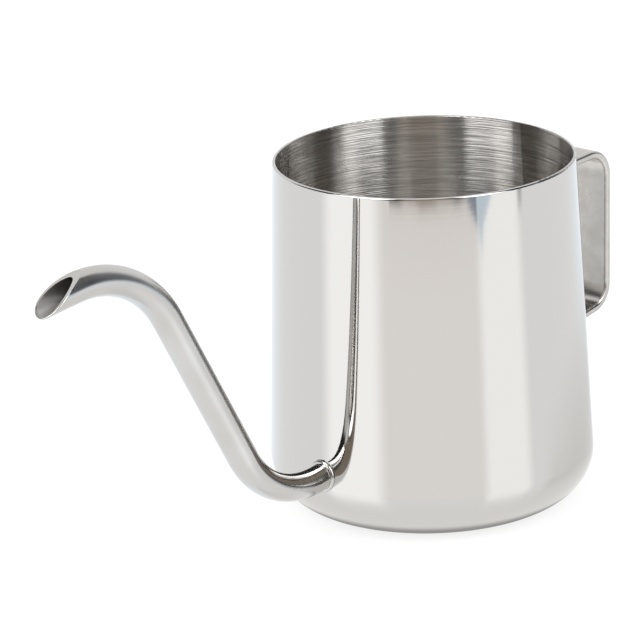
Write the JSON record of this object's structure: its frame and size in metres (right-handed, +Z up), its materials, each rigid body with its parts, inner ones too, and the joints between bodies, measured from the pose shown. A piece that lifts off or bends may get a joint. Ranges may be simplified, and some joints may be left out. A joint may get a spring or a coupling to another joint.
{
  "type": "gooseneck kettle",
  "caption": "Small open-top gooseneck drip kettle: drawn steel cup, slim bent pouring tube with a slanted tip, and a bent strap handle, all welded.",
  "frame": {"origin": "centre of the standing face, on the cup's axis", "axes": "+Z up along the cup's axis; the spout points towards -X and the handle towards +X"},
  "size_m": [0.1931, 0.0814, 0.0885],
  "materials": {
    "cup_steel": "mirror polished outside, turned and brushed round the inside",
    "tube_steel": "polished",
    "strap_steel": "satin faces, polished rounded edges",
    "weld_steel": "polished weld bead"
  },
  "bodies": {
    "root": {"vessel_shell": "cup_steel", "spout_tube": "tube_steel", "spout_weld": "weld_steel", "handle_strap": "strap_steel", "handle_weld_upper": "weld_steel", "handle_weld_lower": "weld_steel"}
  },
  "joints": []
}
